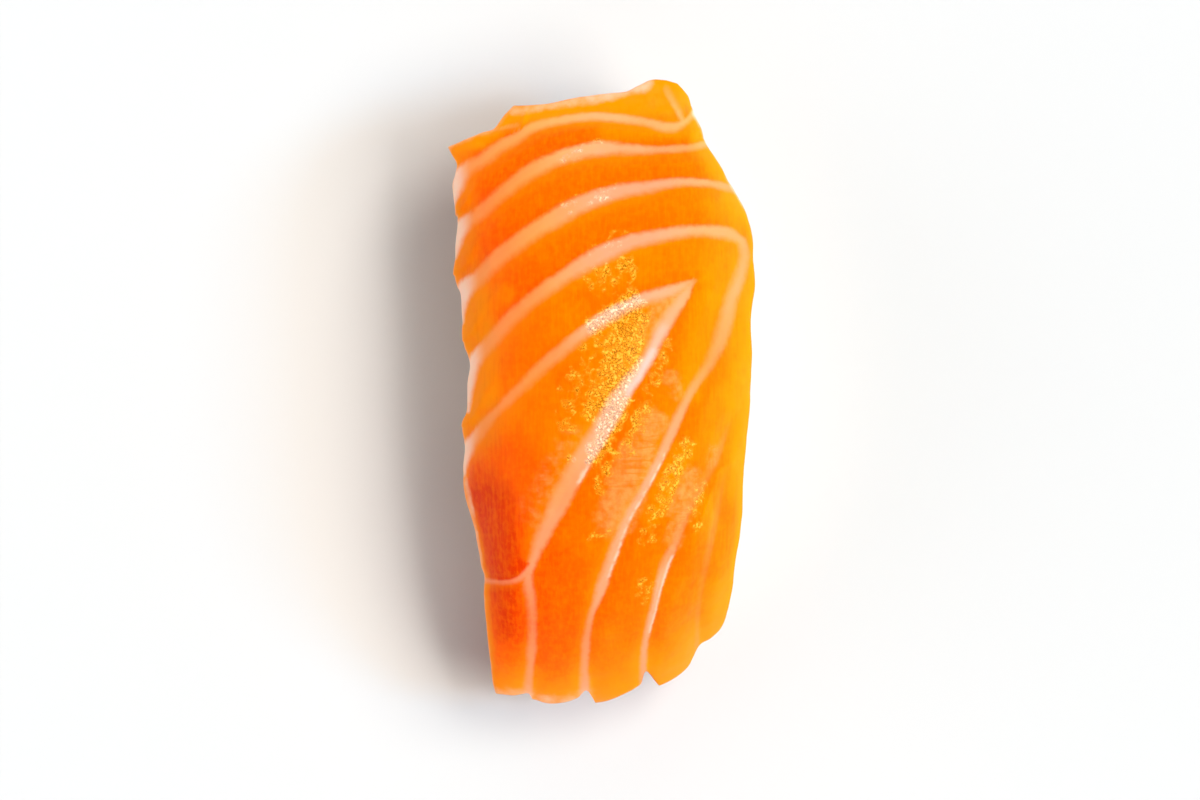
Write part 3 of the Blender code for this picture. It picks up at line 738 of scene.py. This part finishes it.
def raw_salmon(look):
    """Raw salmon, cut across the flakes with a wet knife: moist, slightly see-through orange flesh with fine
    fibres in each flake, opaque pinkish fat between the flakes and a thin film of water that glints, its
    glints partly reflected by the shader and partly painted into the colour."""
    material, tree, here = new_material("Raw salmon, moist")
    put = partial(add, tree)
    apart = put(*SPLIT, here).node.outputs
    across, along = apart["X"], apart["Y"]
    marks = {
        label: put("ShaderNodeAttribute", {"attribute_name": label}).node.outputs["Fac"]
        for label in ("fat_gap", "fat_inner", "fat_strength", "thin", *PATCHES)
    }

    def torn(label, size, start, end):
        """A mark with ragged edges, which rises between these shares of it."""
        mark = marks[label]
        shaken = put(*TIMES_PLUS, put(*NOISE, here, 1 / size, 4.0), 3.0, mark)
        return put(*TIMES, put(*SOFT, shaken, 1.5 + start, 1.5 + end), put(*SOFT, mark, 0.0, 0.3))

    def coated(colour, *coats):
        """The colour under coats of others, each given with its share."""
        for share, coat in coats:
            colour = put(*MIX, share, colour, coat)
        return colour

    clouds, wavering, mottle, ragged, blotches, specks = (
        put(*NOISE, here, 1 / (size * MM), detail)
        for size, detail in ((5.0, 2.0), (3.5, 1.0), (1.3, 3.0), (0.7, 3.0), (0.6, 3.0), (0.30, 2.0))
    )
    # Fibres run along the slice, ten times as long as they are thick. Real ones are about 0.1 mm thick, and
    # these are drawn at 0.3 mm, as coarse as they need to show.
    stretched = put("ShaderNodeMapping", {}, here, Scale=(1.0, 0.10, 0.4))
    fibres = put(*NOISE, stretched, 1 / (0.30 * MM), 3.0)

    # A sheet of fat is sharper towards the flake above it. On its other side it slants in under the flesh.
    gap = put(*TIMES_PLUS, ragged, 0.4 * MM, marks["fat_gap"])
    gap = put(*TIMES_PLUS, wavering, 0.5 * MM, gap)
    inner, strength = marks["fat_inner"], marks["fat_strength"]
    gap = put(*MINUS, gap, put(*SOFT, inner, 0.0, 1.0, 0.22 * MM, 0.34 * MM))
    outer = put(*MINUS, 1.0, inner)
    fade = put(*SOFT, inner, 0.0, 1.0, 0.36 * MM, 0.55 * MM)
    fat_share = put(*SOFT, gap, fade, put(*TIMES, fade, -1.0), 0.0, strength)
    tail = put(*TIMES, put(*TIMES, put(*SOFT, gap, 1.9 * MM, 0.2 * MM, 0.0, 0.45), inner), strength)
    tail = put(*TIMES, tail, put(*SOFT, across, 2 * MM, 9 * MM, 1.0, 0.4))

    # The flesh is deepest by the left hem near the middle, and palest where the slice thins out. Towards the
    # right flank, where the lamps fall, it is painted paler and then amber as painted light. Its fibres catch
    # the light or lie in shade. Here and there a milky film lies over it, with a few fine wrinkles straight
    # across.
    uneven_across = put(*TIMES_PLUS, clouds, 8 * MM, across)
    deep = put(*RAMP, put(*TIMES_PLUS, mottle, 0.6, marks["deep"]), 0.3, 1.3)
    stretched = put("ShaderNodeMapping", {}, here, Scale=(0.09, 1.0, 0.4))
    wrinkles = put(*NOISE, stretched, 1 / (0.34 * MM), 2.0)
    creases = put(*TIMES, put(*SOFT, wrinkles, 0.5, 0.38), put(*SOFT, clouds, 0.35, 0.6, 0.0, 0.4))
    filmy = torn("filmy", 0.9 * MM, -0.2, 1.8)
    thin = put(*TIMES_PLUS, mottle, 0.3, marks["thin"])
    flesh = coated(
        look.flesh,
        # painted light: paler, then amber, towards the right flank where the lamps fall
        (put(*SOFT, uneven_across, -6 * MM, 13 * MM), look.flesh_painted_lit),
        (put(*SOFT, uneven_across, 13 * MM, 21 * MM), look.flesh_amber_and_painted_lit),
        (put(*SOFT, along, 28 * MM, 32 * MM, 0.0, 0.5), "#ffae50"),  # the far end
        (put(*TIMES, put(*SOFT, gap, 3.2 * MM, 0.2 * MM, 0.0, 0.3), outer), "#fb4c00"),  # above a sheet
        (put(*TIMES, marks["amber"], put(*SOFT, mottle, 0.2, 0.7, 0.7, 1.0)), look.flesh_amber_and_painted_lit),
        (deep, look.flesh_deep),
        (put(*TIMES, put(*SOFT, fibres, 0.46, 0.7), 0.14), "#ff8e00"),  # fibres in the light
        (put(*TIMES, put(*SOFT, fibres, 0.54, 0.3), put(*SOFT, deep, 0.0, 1.0, 0.08, 0.3)), "#d02400"),
        (put(*TIMES, put(*SOFT, blotches, 0.40, 0.65), 0.14), "#ff9000"),
        (tail, "#ff8a04"),  # the fat that slants in under the flesh
        (put(*TIMES, filmy, put(*MINUS, 0.75, creases)), "#fb9a50"),  # the film
        (put(*SOFT, thin, 0.2, 1.1, 0.0, 0.9), look.flesh_amber_and_painted_lit),
    )

    # The fat is pinkest on the crown, more orange to either side, and nearly white where it comes out at the
    # left hem. Along part of its sharp side a thin pale line is painted on as a painted highlight, where the
    # step down to the next flake would catch the light.
    from_waist = put(*UNSIGNED, put(*MINUS, along, 3 * MM))
    hemward = put(*TIMES_PLUS, from_waist, 0.085, across)
    fat = coated(
        look.fat_left,
        (put(*SOFT, across, -8 * MM, 1 * MM), look.fat),
        (put(*SOFT, across, 5 * MM, 12 * MM), "#fb9a5e"),  # the right
        (put(*SOFT, along, -8 * MM, -14 * MM), "#fb9c6c"),  # the near end
        (put(*SOFT, along, 22 * MM, 29 * MM, 0.0, 0.45), "#ffbc6c"),  # the far end
        (put(*SOFT, hemward, -11.9 * MM, -13.9 * MM), look.hem),
    )
    # Painted highlight: a thin lighter line along the sharp side of the fat, where the step would catch the
    # light.
    edge = put(*TIMES, put(*SOFT, gap, -0.6 * MM, -0.15 * MM, 0.0, 0.6),
               put(*SOFT, gap, 0.15 * MM, -0.15 * MM))
    edge = put(*TIMES, put(*TIMES, edge, outer), torn("crisp", 1.0 * MM, 0.0, 0.9))
    rim = put(*TIMES, put(*SOFT, thin, 0.9, 1.35), put(*SOFT, clouds, 0.3, 0.6, 0.25, 0.6))
    rim = put(*TIMES, rim, put(*SOFT, across, 2 * MM, -6 * MM))
    pale = put(*SOFT, put(*TIMES_PLUS, mottle, 0.5, marks["pale"]), 0.4, 1.15)
    rim = put(*LARGER, rim, pale)

    # The film of water mirrors in the colour of the flesh. Where the crown is wettest its reflection breaks
    # into glints on facets 0.15 mm wide, each at its own slant, and painted glints are laid into the colour
    # there besides: gold specks with darker gaps between them. Real glints are finer, and these are as coarse
    # as they need to show.
    # The wet strokes give real gloss and slanting facets, and also mark where painted glints go.
    wet, smooth = torn("wet", 0.9 * MM, 0.25, 1.0), marks["smooth"]
    painted_glints = put(*TIMES, wet, put(*SOFT, smooth, 0.0, 0.8, 1.0, 0.1))
    from_seam = put(*UNSIGNED, put(*MINUS, specks, 0.46))
    glint_gap_share = put(*SOFT, from_seam, 0.09, 0.0, 0.0, 0.9)
    painted_glint_glow = coated("#ffa020", (fat_share, "#ffbe94"))
    painted_glint_specks = coated("#ffb840", (fat_share, "#ffe4c0"))
    painted_glint_gaps = coated("#885400", (fat_share, "#a48468"))
    colour = coated(
        flesh,
        (fat_share, fat),
        # painted highlight along the fat's sharp side
        (edge, "#ffccb0"),
        (rim, look.hem),
        # painted glints: a gold sheen, lighter specks and darker gaps between them
        (put(*TIMES, painted_glints, 0.85), painted_glint_glow),
        (put(*TIMES, put(*SOFT, specks, 0.54, 0.68, 0.0, 0.9), painted_glints), painted_glint_specks),
        (put(*TIMES, glint_gap_share, painted_glints), painted_glint_gaps),
        # painted sheen on the smooth fat
        (put(*TIMES, put(*TIMES, smooth, 0.5), fat_share), "#ffccc8"),
    )
    tint = coated(
        "#e0ac10",
        (fat_share, "#e8ddd4"),
        (wet, "#ffe9b8"),
        (put(*TIMES, smooth, fat_share), "#fff0f2"),
    )
    cells = put("ShaderNodeTexVoronoi", {}, Vector=here, Scale=1 / (0.15 * MM), output=1)
    slanting = put(*TIMES, wet, put(*SOFT, smooth, 0.0, 0.6, 0.14, 0.0))
    slants = put(*SCALED, put(*VECTOR_MINUS, cells, (0.5, 0.5, 0.5)), Scale=slanting)
    upright = put("ShaderNodeNewGeometry").node.outputs["Normal"]
    facets = put(*NORMALIZED, put(*VECTOR_PLUS, upright, slants))
    relief = put(*TIMES_PLUS, put(*TIMES, wrinkles, filmy), 1.2, fibres)
    gloss = put(*LARGER, put(*TIMES, wet, 0.8), smooth)
    return finish_material(material, {
        "Base Color": colour,
        "Normal": put("ShaderNodeBump", {}, Strength=0.12, Distance=0.06 * MM, Height=relief, Normal=facets),
        "Roughness": put(*SOFT, gloss, 0.0, 1.0, 0.42, 0.22),
        "Specular Tint": tint,
        "IOR": 1.33,
        "Specular IOR Level": 0.1,
        "Subsurface Weight": 0.3,
        "Subsurface Radius": (1.0, 0.35, 0.12),
        "Subsurface Scale": 2.0 * MM,
    })


def cooked_rice(look):
    """Short-grain rice, steamed and dressed: swollen pearly grains, cloudy inside, faintly glossy outside."""
    material, tree, here = new_material("Sushi rice, steamed")
    put = partial(add, tree)
    shade = put("ShaderNodeAttribute", {"attribute_name": "grain_shade"}).node.outputs["Fac"]
    cloudy = put(*NOISE, here, 1 / (1.4 * MM), 2.0)
    fine = put(*NOISE, here, 1 / (0.5 * MM), 2.0)
    darker = (0.92 * look.grain[0], 0.87 * look.grain[1], 0.77 * look.grain[2], 1.0)
    share = put(*RAMP, put(*TIMES, shade, cloudy), 0.0, 0.5)
    return finish_material(material, {
        "Base Color": put(*MIX, share, darker, look.grain),
        "Normal": put("ShaderNodeBump", {}, Strength=0.3, Distance=0.08 * MM, Height=fine),
        "Roughness": put(*RAMP, cloudy, 0.3, 0.7, 0.30, 0.45),
        "IOR": 1.45,
        "Subsurface Weight": 0.5,
        "Subsurface Radius": (1.0, 0.9, 0.75),
        "Subsurface Scale": 1.2 * MM,
    })


def matte_table(look):
    """A matte white laminate table top, with the faintest unevenness in its tone."""
    material, tree, here = new_material("Matte white laminate")
    patches = add(tree, *NOISE, here, 8.0)
    dimmer = (*(0.98 * share for share in look.floor[:3]), 1.0)
    return finish_material(material, {
        "Base Color": add(tree, *MIX, patches, dimmer, look.floor),
        "Roughness": 0.75,
        "Specular IOR Level": 0.2,
    })


# ---- the operators ----


class NIGIRI_OT_slice(bpy.types.Operator):
    """Make the slice of salmon"""

    bl_idname = "nigiri.slice"
    bl_label = "Salmon slice"

    def execute(self, context):
        look = context.scene.nigiri_slice
        lines = fat_sheet_lines()
        made = new_object("salmon_slice_looks", slice_mesh(look.thickness))
        run_tree(made, flake_tree(), look, {"Fat lines": lines, "Material": raw_salmon(look)})
        bpy.data.objects.remove(lines)
        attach(made, "root")
        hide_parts("salmon_slice")
        return {"FINISHED"}


class NIGIRI_OT_rice(bpy.types.Operator):
    """Make the bed of rice grains"""

    bl_idname = "nigiri.rice"
    bl_label = "Rice grains"

    def execute(self, context):
        look = context.scene.nigiri_rice
        made = new_object("rice_grains", rice_core(GRAIN_DEPTH))
        run_tree(made, grain_tree(), look, {"Material": cooked_rice(look)})
        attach(made, "root")
        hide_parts("rice_bed")
        return {"FINISHED"}


# Each lamp's compass direction, height and apparent width in degrees, what it gives a white face turned to
# it, and its colour. The lamps are far off, as big soft boxes are for a thing this small.
LAMPS = {
    "main_lamp": (50.0, 55.0, 27.0, 0.54, "#fff3ee"),
    "second_main_lamp": (111.0, 53.0, 27.0, 0.49, "#fff4ee"),
    "low_main_lamp": (90.0, 40.0, 14.0, 0.36, "#80c6ff"),
    "left_fill": (270.0, 16.0, 64.0, 0.36, "#ffe4ec"),
    "far_fill": (0.0, 34.0, 40.0, 0.11, "#fffcfa"),
    "near_fill": (180.0, 34.0, 50.0, 0.12, "#eceeff"),
    "top_lamp": (84.0, 76.0, 24.0, 0.17, "#fffefc"),
    "glint_lamp": (92.0, 64.0, 10.0, 0.11, "#fff4f8"),
}
ROOM_WHITE, ROOM_DARK = 0.62, 0.05  # the room's light from the sides, and from overhead
SENSOR_WIDTH = 36.0  # mm
CAMERA_PLACE = (-0.16 * MM, -0.635 * MM)  # across and along, over the middle of the view
HEM_HEIGHT = 12 * MM  # where the slice is widest from above


class NIGIRI_OT_stage(bpy.types.Operator):
    """Make the table top, the lamps and the camera"""

    bl_idname = "nigiri.stage"
    bl_label = "Stage"

    def execute(self, context):
        scene, look = context.scene, context.scene.nigiri_stage
        half = look.floor_size / 2
        mesh = bpy.data.meshes.new("table_top")
        mesh.from_pydata([(-half, -half, 0), (half, -half, 0), (half, half, 0), (-half, half, 0)], [],
                         [(0, 1, 2, 3)])
        mesh.materials.append(matte_table(look))
        new_object("table_top", mesh)

        for name, (compass, height, width, strength, colour) in LAMPS.items():
            lamp = bpy.data.lights.new(name, "SUN")
            lamp.angle, lamp.color = math.radians(width), linear(colour)[:3]
            lamp.energy = math.pi * strength * look.light
            holder = new_object(name, lamp)
            turn, rise = math.radians(compass), math.radians(height)
            way = Vector((math.sin(turn) * math.cos(rise), math.cos(turn) * math.cos(rise), math.sin(rise)))
            holder.location = way
            holder.rotation_euler = way.to_track_quat("Z", "Y").to_euler()

        # The room is white up to head height and dark overhead, so that the wet crown shows its colour.
        world = bpy.data.worlds.new("pale studio")
        world.use_nodes = True
        tree = world.node_tree
        way_out = add(tree, "ShaderNodeTexCoord").node.outputs["Generated"]
        height = add(tree, *SPLIT, way_out, output=2)
        strength = add(tree, *SOFT, height, 0.2, 0.7, ROOM_WHITE * look.light, ROOM_DARK * look.light)
        room = tree.nodes["Background"].inputs
        fill(tree, [(room["Strength"], strength), (room["Color"], "#fffbfb")])
        scene.world = world

        camera = bpy.data.cameras.new("camera")
        camera.sensor_width = SENSOR_WIDTH
        camera.lens = SENSOR_WIDTH * look.camera_distance / look.view_width
        camera.clip_start, camera.clip_end = 0.05, 10.0
        holder = new_object("camera", camera)
        holder.location = (*CAMERA_PLACE, HEM_HEIGHT + look.camera_distance)
        scene.camera = holder
        scene.view_settings.view_transform = "Standard"
        return {"FINISHED"}


class NIGIRI_PT_sidebar(bpy.types.Panel):
    """Lists the pieces of the nigiri with their sizes and colours"""

    bl_label = "Nigiri"
    bl_space_type = "VIEW_3D"
    bl_region_type = "UI"
    bl_category = "Nigiri"

    def draw(self, context):
        for group_name, operator in PIECES.items():
            box = self.layout.box()
            group = getattr(context.scene, group_name)
            for name in group.__annotations__:
                box.prop(group, name)
            box.operator(operator.bl_idname)


GROUPS = {"nigiri_slice": NigiriSlice, "nigiri_rice": NigiriRice, "nigiri_stage": NigiriStage}
PIECES = {"nigiri_slice": NIGIRI_OT_slice, "nigiri_rice": NIGIRI_OT_rice, "nigiri_stage": NIGIRI_OT_stage}
CLASSES = (*GROUPS.values(), *PIECES.values(), NIGIRI_PT_sidebar)


def register():
    for made in CLASSES:
        bpy.utils.register_class(made)
    for name, group in GROUPS.items():
        setattr(bpy.types.Scene, name, PointerProperty(type=group))


def unregister():
    for name in GROUPS:
        delattr(bpy.types.Scene, name)
    for made in reversed(CLASSES):
        bpy.utils.unregister_class(made)


def main():
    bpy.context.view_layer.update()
    register()
    bpy.ops.nigiri.slice()
    bpy.ops.nigiri.rice()
    bpy.ops.nigiri.stage()


if __name__ == "__main__":
    main()
